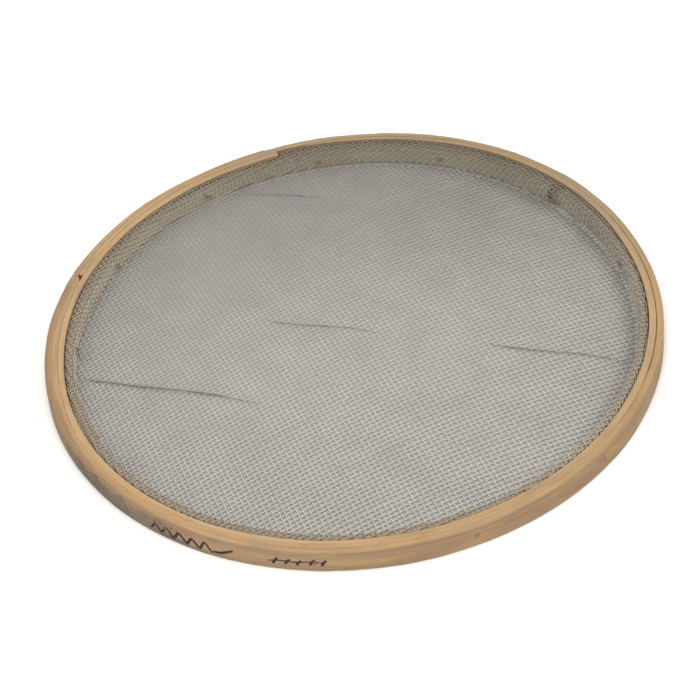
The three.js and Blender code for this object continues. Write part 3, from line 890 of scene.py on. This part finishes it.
def fold_limits(deg):
    """Flat-cloth radii where the floor, first bend, wall, top bend, flat top and skirt
    bend end."""
    wall = wall_r(deg)
    floor = wall - WALL_BEND
    bend = floor + WALL_BEND * math.pi / 2
    wall_end = bend + (fold_top(deg) - TOP_BEND) - (FLOOR_Z + WALL_BEND)
    top_bend = wall_end + TOP_BEND * math.pi / 2
    flat_top = top_bend + np.maximum(skirt_r(deg) - SKIRT_BEND - (wall + TOP_BEND), 0.0)
    return floor, bend, wall_end, top_bend, flat_top, flat_top + SKIRT_BEND * math.pi / 2


def fold(flat_r, deg):
    """Flat cloth radius to the tray's section: radius, height, normal r, normal z."""
    limits = fold_limits(deg)
    floor, bend, _, top_bend, flat_top, skirt_bend = limits
    wall, top, skirt = wall_r(deg), fold_top(deg), skirt_r(deg)
    turn1 = (flat_r - floor) / WALL_BEND
    turn2 = (flat_r - limits[2]) / TOP_BEND
    turn3 = (flat_r - flat_top) / SKIRT_BEND
    # radius, height and normal on each stretch, the last one being the skirt
    stretches = [
        (flat_r, FLOOR_Z, 0.0, 1.0),
        (floor + WALL_BEND * np.sin(turn1), FLOOR_Z + WALL_BEND * (1 - np.cos(turn1)),
         -np.sin(turn1), np.cos(turn1)),
        (wall, FLOOR_Z + WALL_BEND + flat_r - bend, -1.0, 0.0),
        (wall + TOP_BEND * (1 - np.cos(turn2)), top - TOP_BEND + TOP_BEND * np.sin(turn2),
         -np.cos(turn2), np.sin(turn2)),
        (wall + TOP_BEND + flat_r - top_bend, top, 0.0, 1.0),
        (skirt - SKIRT_BEND + SKIRT_BEND * np.sin(turn3),
         top - SKIRT_BEND + SKIRT_BEND * np.cos(turn3), np.sin(turn3), np.cos(turn3)),
        (skirt, top - SKIRT_BEND - (flat_r - skirt_bend), 1.0, 0.0)]
    within = [flat_r <= limit for limit in limits]
    ones = np.ones_like(flat_r)
    return [np.select(within, [value * ones for value in values[:-1]], values[-1] * ones)
            for values in zip(*stretches)]


def crease_axis(crease):
    """Start, unit direction and length of a crease's straight line."""
    start, end = np.array(crease[0]) * RADIUS, np.array(crease[1]) * RADIUS
    length = math.hypot(*(end - start))
    return start, (end - start) / length, length


def meander(along, length):
    return 1.2 * MM * np.sin(along / length * 7.0)


def crease_coords(crease, x, y):
    """Distance along a crease, distance off its wavering line, and its length."""
    start, way, length = crease_axis(crease)
    x, y = x - start[0], y - start[1]
    along = x * way[0] + y * way[1]
    return along, x * -way[1] + y * way[0] + meander(along, length), length


def crease_dark(x, y):
    """Darkening along the creases."""
    out = np.zeros_like(x)
    for crease in CREASES:
        along, off, length = crease_coords(crease, x, y)
        ends = smooth(along, -0.05 * length, 0.12 * length)
        ends = ends * (1 - smooth(along, 0.80 * length, 1.05 * length))
        patchy = 0.72 + 0.28 * np.sin(along / (9.0 * MM) + 13 * crease[0][0])
        line = np.exp(-((off + 0.9 * MM) / (1.15 * MM)) ** 2)
        out = np.maximum(out, min(1.0, 0.25 + 0.55 * crease[2]) * ends * patchy * line)
    return out


belly_long = waves(61, 1.5, 7, 5)
belly_short = waves(62, 6, 22, 18)


def floor_rise(x, y):
    """Bellying and creases of the floor, fading out near the wall."""
    rise = 0.28 * MM * (belly_long(x, y) + 0.6) + 0.10 * MM * belly_short(x, y)
    for crease in CREASES:
        along, off, length = crease_coords(crease, x, y)
        ends = smooth(along, 0, 0.2 * length) * (1 - smooth(along, 0.8 * length, length))
        rise = rise + crease[2] * MM * ends * np.exp(-(off / (crease[3] * MM)) ** 2)
    return np.maximum(rise, -0.15 * MM) * (1 - smooth(np.hypot(x, y), 0.225, 0.245))


def stray(family, along):
    return family["slope"] * along + family["bow"] * along * along / RADIUS


def wire_stations(family, other, number, rs):
    """Flat x, y and cell position of one wire's stations, or None if it is too short."""
    t = np.arange(-0.33, 0.33, 0.0002)
    jog = 0.035 * rs.randn()
    drift = waves(rs.randint(1 << 30), 2, 9, n=5)
    across = (number + jog + 0.05 * drift(t)) * family["pitch"] + stray(family, t)
    cell = (t - stray(other, across)) / other["pitch"]
    x, y = (t, across) if family is WARP else (across, t)
    flat_r = np.hypot(x, y)
    skirt_start = fold_limits(np.degrees(np.arctan2(y, x)))[-1]
    keep = flat_r < skirt_start + (9.0 + 1.6 * rs.randn()) * MM
    if keep.sum() < 30:
        return None
    kept = slice(np.argmax(keep), len(keep) - np.argmax(keep[::-1]))
    x, y, cell, flat_r = x[kept], y[kept], cell[kept], flat_r[kept]
    low, high = cell.min(), cell.max()
    if cell[0] > cell[-1]:
        x, y, cell, flat_r = x[::-1], y[::-1], cell[::-1], flat_r[::-1]
    # two stations to a cell on the floor, four where the cloth bends
    places = np.arange(math.ceil(low * 4) / 4.0, high, 0.25)
    chosen = np.abs(np.round(places * 2) - places * 2) < 1e-6
    chosen |= np.interp(places, cell, flat_r) > FINE_FROM
    places = places[chosen]
    if len(places) and places[0] - low > 0.08:
        places = np.concatenate([[low], places])
    if len(places) and high - places[-1] > 0.08:
        places = np.concatenate([places, [high]])
    if len(places) < 4:
        return None
    return np.interp(places, cell, x), np.interp(places, cell, y), places


def wire_layers(family, x, y):
    """Colouring of a wire's stations, by attribute name."""
    flat_r, angle = np.hypot(x, y), np.arctan2(y, x)
    deg = np.degrees(angle)
    floor, bend, wall_end = fold_limits(deg)[:3]
    on_floor = flat_r < floor
    over_top = smooth(flat_r, wall_end - 1.5 * MM, wall_end + 1.5 * MM)
    soil = 0.08 + 0.62 * smooth(flat_r, floor - 1.0 * MM, bend + 0.5 * MM)
    # dark: creases, painted shade at the foot of the wall, a painted shadow at the step beside the
    # split, and the fold
    foot = 0.07 * smooth(flat_r, floor + 0.1 * MM, floor + 0.7 * MM)
    foot = foot * (1 - smooth(flat_r, bend - 0.2 * MM, bend + 0.9 * MM))
    dark = np.maximum(crease_dark(x, y), foot)
    step = 0.62 * np.exp(-((deg - 35.4) / 1.1) ** 2) * smooth(flat_r, bend, bend + 1 * MM)
    dark = np.maximum(dark, step)
    dark = np.maximum(dark, lookup_round(FOLD_DARK, deg) * over_top)
    # painted shade on the floor: more to the back, to both sides and in a round patch back right
    u, v = x / RADIUS, y / RADIUS
    painted_shade = 0.10 + 0.30 * smooth(v, -0.05, 0.95)
    painted_shade = painted_shade + 0.20 * np.exp(-((u - 0.42) ** 2 + (v - 0.50) ** 2) / 0.10)
    painted_shade = painted_shade + 0.16 * smooth(np.abs(u), 0.4, 0.95)
    painted_shade = painted_shade + family["painted_shade"] + 0.09 * smooth(-v, 0.15, 0.8)
    # painted shadow on the floor near the wall, away from the back and most on the right
    around = 0.10 * (1 - smooth(np.sin(angle), 0.2, 0.8))
    around = around + 0.22 * smooth(np.cos(angle + 0.05), 0.35, 0.95)
    painted_shade = painted_shade + smooth(flat_r, floor - 17 * MM, floor - 1 * MM) * around
    # painted shade on the wall, by angle
    wall_shade = lookup_round(WALL_SHADE, deg) * smooth(flat_r, bend - 0.2 * MM, bend + 1.6 * MM)
    # painted light: the wall paler at the left back, and by angle from WALL_PALE
    pale = np.maximum(smooth(np.cos(angle - 2.7), 0.1, 0.95), lookup_round(WALL_PALE, deg))
    return {
        "soil": soil,
        "dark": np.clip(dark, 0, 1),
        "painted_shade": np.clip(np.where(on_floor, painted_shade, wall_shade), 0, 1),
        "pale": np.clip(np.where(on_floor, 0.0, pale), 0, 1),
        "umber": np.clip(lookup_round(UMBER, deg) * over_top, 0, 1)}


def wire_tube(family, number, x, y, cell):
    """Rings of points round one crimped wire laid on the folded tray."""
    flat_r, angle = np.hypot(x, y), np.arctan2(y, x)
    deg = np.degrees(angle)
    r, z, normal_r, normal_z = fold(flat_r, deg)
    z = z + np.where(flat_r < fold_limits(deg)[0], floor_rise(x, y), 0.0)
    cos, sin = np.cos(angle), np.sin(angle)
    normal = np.stack([normal_r * cos, normal_r * sin, normal_z], -1)
    points = np.stack([CENTRE_X + r * cos, CENTRE_Y + r * sin, z], -1)
    ride = WAVE_HEIGHT * family["crimp"] * np.cos(math.pi * (cell + number))
    points = points + normal * ride[:, None]
    tangent = np.gradient(points, axis=0)
    tangent /= np.linalg.norm(tangent, axis=1)[:, None] + 1e-12
    side = np.cross(tangent, normal)
    side /= np.linalg.norm(side, axis=1)[:, None] + 1e-12
    up = np.cross(side, tangent)
    turn = (np.arange(WIRE_SIDES) * 2 * math.pi / WIRE_SIDES + 0.5)[None, :, None]
    offset = np.cos(turn) * up[:, None, :] + np.sin(turn) * side[:, None, :]
    tube = points[:, None, :] + (family["gauge"] / 2) * offset
    tube[..., 2] = np.maximum(tube[..., 2], 0.05 * MM)
    return tube


def cloth_family(family, other):
    """All wires of one family, in three objects."""
    rs = np.random.RandomState(family["seed"])
    wires = []
    last = int(0.30 / family["pitch"]) + 2
    for number in range(-last, last + 1):
        path = wire_stations(family, other, number, rs)
        if path is not None:
            tube = wire_tube(family, number, *path)
            wires.append((tube, wire_layers(family, *path[:2])))
    for piece, chosen in enumerate(np.array_split(np.arange(len(wires)), 3)):
        tubes, layers = zip(*(wires[i] for i in chosen))
        ob = tubes_object(f"wire_cloth_{family['label']}_{piece + 1}", tubes, wire_mat)
        for name in layers[0]:
            values = np.concatenate([layer[name] for layer in layers])
            put_attribute(ob.data, name, np.repeat(values, WIRE_SIDES))
        attach(ob, "wire_mesh")


cloth_family(WARP, WEFT)
cloth_family(WEFT, WARP)

# Section of a seam: offset across and height, as fractions of its width
SEAM_SECTION = ((-0.5, -0.55), (-0.36, 0.02), (0.0, 0.16), (0.36, 0.02), (0.5, -0.55), (0.0, -0.9))


def seam_object(k, crease, first, last, widths):
    """A thin grey seam raised along a crease."""
    start, way, length = crease_axis(crease)
    count = int(length * (last - first) / 0.0008)
    t = np.linspace(first, last, count) * length
    side = -0.55 * MM - meander(t, length) + 0.22 * MM * waves(300 + k, 20, 120)(t)
    width = lookup(widths, (t / length - first) / (last - first)) * MM
    width = 0.85 * width * np.clip(1 + 0.40 * waves(320 + k, 40, 300)(t), 0.3, 1.6)

    def place(off):
        return (start[0] + way[0] * t - way[1] * off, start[1] + way[1] * t + way[0] * off)

    base_z = FLOOR_Z + floor_rise(*place(side)) + 0.62 * MM
    rings = []
    for off, up in SEAM_SECTION:
        x, y = place(side + off * width)
        z = np.maximum(base_z + up * np.minimum(width, 1.2 * MM), 0.1 * MM)
        rings.append(np.stack([CENTRE_X + x, CENTRE_Y + y, z], -1))
    verts = np.stack(rings, 1).reshape(-1, 3)
    sides = len(SEAM_SECTION)
    ends = [np.arange(sides)[::-1], (count - 1) * sides + np.arange(sides)]
    ob = fast_object(f"crease_seam_{k + 1}", verts, tube_quads(count, sides), ends, seam_mat)
    attach(ob, "wire_mesh")


for k, (crease, seam) in enumerate(zip(CREASES, SEAMS)):
    seam_object(k, crease, *seam)

# ------------------------------------------------------------------ nails
SHANK_R = 0.95 * MM
HEAD_R = 2.0 * MM
NAIL_BEND = 1.3 * MM     # radius of the clenched bend
NAIL_SIDES = 28


def nail_profile(start, arc, under, head):
    """(distance out from the centre, radius) from the tip, round the bend, to the head."""
    tip = start - arc - 5.0 * MM
    return [
        (tip, 0.02 * MM), (tip + 0.25 * MM, 0.22 * MM), (tip + 1.3 * MM, 0.55 * MM),
        (tip + 3.0 * MM, 0.88 * MM), (start - arc, SHANK_R),
        *((start - arc * (1 - j / 8.0), SHANK_R) for j in range(1, 8)),
        (start, SHANK_R), (start + 8 * MM, SHANK_R), (under - 0.3 * MM, SHANK_R),
        (under, SHANK_R * 1.15), (under + 0.02 * MM, HEAD_R - 0.5 * MM),
        (under + 0.22 * MM, HEAD_R - 0.1 * MM), (head - 0.30 * MM, HEAD_R),
        (head - 0.12 * MM, HEAD_R - 0.12 * MM), (head - 0.03 * MM, HEAD_R - 0.4 * MM),
        (head + 0.02 * MM, HEAD_R - 0.8 * MM), (head + 0.05 * MM, HEAD_R - 1.3 * MM),
        (head + 0.05 * MM, 0.25 * MM)]


def nail_object(k, deg, height):
    """Flat hammered head, round shank and a point bent over against the wire wall."""
    rs = np.random.RandomState(500 + k)
    head = rim_out(deg) - 0.22 * MM
    under = head - 0.95 * MM
    start = float(wall_r(deg)) - CLOTH_HALF - 0.35 * MM - SHANK_R - 0.15 * MM + NAIL_BEND
    arc = NAIL_BEND * math.pi / 2
    profile = nail_profile(start, arc, under, head)
    lobes = np.arange(NAIL_SIDES) * 2 * math.pi / NAIL_SIDES * 2
    outline = 1 + 0.035 * np.cos(lobes + rs.uniform(0, 6)) + 0.02 * rs.randn(NAIL_SIDES)
    verts = []
    for x, radius in profile:
        in_head = radius > 1.2 * MM
        for side in range(NAIL_SIDES):
            angle = 2 * math.pi * side / NAIL_SIDES
            edge = radius * (outline[side] if in_head else 1.0)
            out, y, z = x, edge * math.cos(angle), edge * math.sin(angle)
            if in_head:
                out += 0.05 * MM * math.sin(2 * angle + k) * (edge / HEAD_R)
            if x < start:
                run = start - x
                turn = min(run, arc) / NAIL_BEND
                bent_y = NAIL_BEND * (1 - math.cos(turn)) + max(run - arc, 0.0)
                out = start - NAIL_BEND * math.sin(turn) + math.sin(turn) * y
                y = bent_y + math.cos(turn) * y
            verts.append((out - start, y, z))
    ring = list(range(NAIL_SIDES))
    last = (len(profile) - 1) * NAIL_SIDES
    faces = tube_quads(len(profile), NAIL_SIDES).tolist()
    faces += [ring[::-1], [last + side for side in ring]]
    tilt = math.radians(((k * 47) % 50) - 25)
    place = (Matrix.Translation((CENTRE_X, CENTRE_Y, height * MM))
             @ Matrix.Rotation(math.radians(deg), 4, "Z")
             @ Matrix.Translation((start, 0, 0)) @ Matrix.Rotation(tilt, 4, "X"))
    if k % 3 == 1:
        # every third nail is clenched the other way; mirroring turns its faces outward
        place = place @ Matrix.Scale(-1, 4, (0, 1, 0))
    else:
        faces = [face[::-1] for face in faces]
    verts = [place @ Vector(v) for v in verts]
    ob = new_object(f"clenched_nail_{k + 1:02d}", verts, faces, nail_mat)
    attach(ob, f"nail_{k + 1:02d}")


for k, nail in enumerate(nails):
    nail_object(k, *nail)

# ------------------------------------------------------------------ hand marks
outer_tree = BVHTree.FromPolygons(
    [v.co for v in outer.data.vertices], [tuple(p.vertices) for p in outer.data.polygons])
# Section of a stroke: offset as a fraction of its width, lift off the wood in mm
STROKE_SECTION = (
    (-0.5, 0.01), (-0.32, 0.07), (0.32, 0.07), (0.5, 0.01), (0.3, -0.25), (-0.3, -0.25))


def outer_skin(deg, z):
    """Radius of the outer face's real, uneven surface at an angle and a height."""
    x, y = math.cos(math.radians(deg)), math.sin(math.radians(deg))
    far = 0.30
    origin = Vector((CENTRE_X + far * x, CENTRE_Y + far * y, z))
    hit = outer_tree.ray_cast(origin, Vector((-x, -y, 0)))[0]
    if hit is None:
        return float(rim_out(deg))
    return math.hypot(hit.x - CENTRE_X, hit.y - CENTRE_Y)


def stroke(points, width):
    """A thin closed ribbon on the outer face through (angle, height mm) points."""
    points = np.array(points, float)
    knots = np.linspace(0, 1, len(points))
    t = np.linspace(0, 1, max(12, len(points) * 9))
    kernel = np.array([1, 2, 3, 2, 1], float) / 9.0

    def softened(values):
        line = np.interp(t, knots, values)
        return np.convolve(np.pad(line, 2, mode="edge"), kernel, "valid")

    along = np.radians(softened(points[:, 0])) * RADIUS
    height = softened(points[:, 1]) * MM
    d_along, d_height = np.gradient(along), np.gradient(height)
    length = np.hypot(d_along, d_height) + 1e-12
    taper = 0.62 + 0.38 * np.sin(np.pi * np.clip(t, 0.03, 0.97)) ** 0.5
    width = width * MM * taper
    sides = []
    for off, lift in STROKE_SECTION:
        z = height + d_along / length * width * off
        deg = np.degrees((along - d_height / length * width * off) / RADIUS)
        r = np.array([outer_skin(*place) for place in zip(deg, z)]) + lift * MM
        x, y = r * np.cos(np.radians(deg)), r * np.sin(np.radians(deg))
        sides.append(np.stack([CENTRE_X + x, CENTRE_Y + y, z], -1))
    return np.stack(sides, 1)


def ink_marks():
    """Loose marks at the front left: a zigzag with ticks over it, a dash, and a row of
    upright strokes crossed by a wavering line."""
    rs = np.random.RandomState(77)
    zigzag = [(-132.6 + k * 1.30 + rs.uniform(-0.15, 0.15),
               (3.6 if k % 2 == 0 else 13.6) + rs.uniform(-1.2, 1.2)) for k in range(11)]
    strokes = [stroke(zigzag, width=2.7)]
    strokes.append(stroke([(-119.6, 5.2), (-117.9, 6.4), (-115.6, 11.8)], width=2.7))
    for deg in (-133.4, -131.6, -130.2, -127.9, -126.7, -124.6):
        deg += rs.uniform(-0.2, 0.2)
        tick = [(deg, 14.4 + rs.uniform(-0.8, 0.4)), (deg + 0.5, 16.2 + rs.uniform(-0.6, 0.4))]
        strokes.append(stroke(tick, width=0.65))
    for k, deg in enumerate((-108.7, -106.6, -104.6, -102.4, -100.4)):
        upright = [(deg, 5.8 + 0.6 * (k % 2)), (deg + 0.35, 9.2), (deg + 0.9, 13.2 - 0.8 * (k % 3))]
        strokes.append(stroke(upright, width=2.6))
    crossing = [(-109.6, 9.0), (-107.2, 10.4), (-105.0, 9.2), (-102.6, 10.6), (-99.6, 9.6)]
    strokes.append(stroke(crossing, width=1.5))
    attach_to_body(tubes_object("marker_strokes", strokes, ink_mat), "root")


ink_marks()


# ------------------------------------------------------------------ stage
def floor_material():
    """Pale floor with a painted shadow in a round patch under the sieve, clear when seen from
    below.
    """
    mat = Shader("studio_floor")
    geometry = mat.add("NewGeometry")
    position = geometry.outputs["Position"]
    cloud = mat.noise(position, scale=3, detail=2, rough=0.5)
    length = mat.add("VectorMath")
    length.operation = "LENGTH"
    mat.link(position, length.inputs[0])
    distance = length.outputs["Value"]
    pale = mat.ramp(cloud, (0.3, srgb(240, 239, 237)), (0.7, srgb(245, 244, 242)))
    axes = mat.add("SeparateXYZ")
    mat.link(position, axes.inputs[0])
    # the painted shadow deepens to the back, then towards the wall and more so on the right
    to_back = mat.span(axes.outputs["Y"], over=(-0.02, 0.27))
    under = mat.mix(to_back, srgb(189, 187, 182), srgb(174, 172, 168))
    to_right = mat.span(axes.outputs["X"], over=(-0.02, 0.22), to=(0.12, 0.45))
    at_wall = mat.times(mat.span(distance, over=(0.232, 0.249)), to_right)
    under = mat.mix(at_wall, under, srgb(120, 118, 113))
    # painted light: a paler ring under the wire wall, lifting the shade there
    under = mat.mix(mat.span(distance, over=(0.2490, 0.2502)), under, srgb(206, 202, 195))
    mat.surface("Base Color", mat.mix(mat.span(distance, over=(0.256, 0.268)), under, pale))
    # a glow outside the sieve, part of it only for the camera
    mat.surface("Emission Color", (1, 1, 1, 1))
    camera_ray = mat.add("LightPath").outputs["Is Camera Ray"]
    white = mat.times(mat.span(distance, over=(0.270, 0.276), to=(0, 0.22)), camera_ray)
    glow = mat.plus(mat.span(distance, over=(0.33, 0.60), to=(0, 0.34)), white)
    mat.surface("Emission Strength", glow)
    mat.surface("Roughness", 0.9)
    mat.surface("Specular IOR Level", 0.1)
    clear = mat.add("BsdfTransparent")
    sided = mat.add("MixShader")
    mat.link(geometry.outputs["Backfacing"], sided.inputs[0])
    mat.link(mat.bsdf.outputs[0], sided.inputs[1])
    mat.link(clear.outputs[0], sided.inputs[2])
    mat.link(sided.outputs[0], mat.out.inputs[0])
    return mat.material


STAGE_HALF, STAGE_Z = 6, -0.0003
stage_corners = [(x * STAGE_HALF, y * STAGE_HALF, STAGE_Z)
                 for x, y in ((-1, -1), (1, -1), (1, 1), (-1, 1))]
new_object("studio_floor", stage_corners, [(0, 1, 2, 3)], floor_material(),
                    smooth_shade=False)

world = bpy.data.worlds.new("studio")
bpy.context.scene.world = world
world.use_nodes = True
background = world.node_tree.nodes["Background"]
background.inputs["Color"].default_value = (1.0, 0.99, 0.975, 1)
background.inputs["Strength"].default_value = 0.70


def area_light(name, location, target, size, power, colour):
    light = bpy.data.lights.new(name, "AREA")
    light.shape = "DISK"
    light.size = size
    light.energy = power
    light.color = colour
    ob = link_object(name, light)
    ob.location = location
    aim = Vector(target) - Vector(location)
    ob.rotation_euler = aim.to_track_quat("-Z", "Y").to_euler()


area_light("overhead", location=(-0.05, -0.42, 1.10), target=(-0.05, -0.2, 0),
           size=0.6, power=5.4, colour=(1.0, 0.99, 0.97))
area_light("key", location=(1.2, 0.35, 1.2), target=(0, 0, 0),
           size=1.0, power=3.6, colour=(1.0, 0.98, 0.95))


def add_camera():
    """Long lens looking down from the front, rolled slightly."""
    data = bpy.data.cameras.new("camera")
    data.sensor_width = 36.0
    data.lens = 107.3962286
    data.clip_start = 0.05
    camera = link_object("camera", data)
    right = Vector((0.99177, -0.08675, -0.09418)).normalized()
    forward = Vector((0.0, 0.7355, -0.6775)).normalized()
    up = right.cross(forward).normalized()
    # placed in rim radii from the centre of the sieve's top
    place = Vector((-0.01874 * RADIUS + CENTRE_X, -5.01868 * RADIUS + CENTRE_Y,
                    4.49525 * RADIUS + HEIGHT))
    axes = Matrix((right, up, -forward)).transposed()
    camera.matrix_world = Matrix.Translation(place) @ axes.to_4x4()
    bpy.context.scene.camera = camera


add_camera()
bpy.context.scene.view_settings.view_transform = "Standard"
bpy.context.scene.view_settings.look = "None"

bpy.context.view_layer.update()
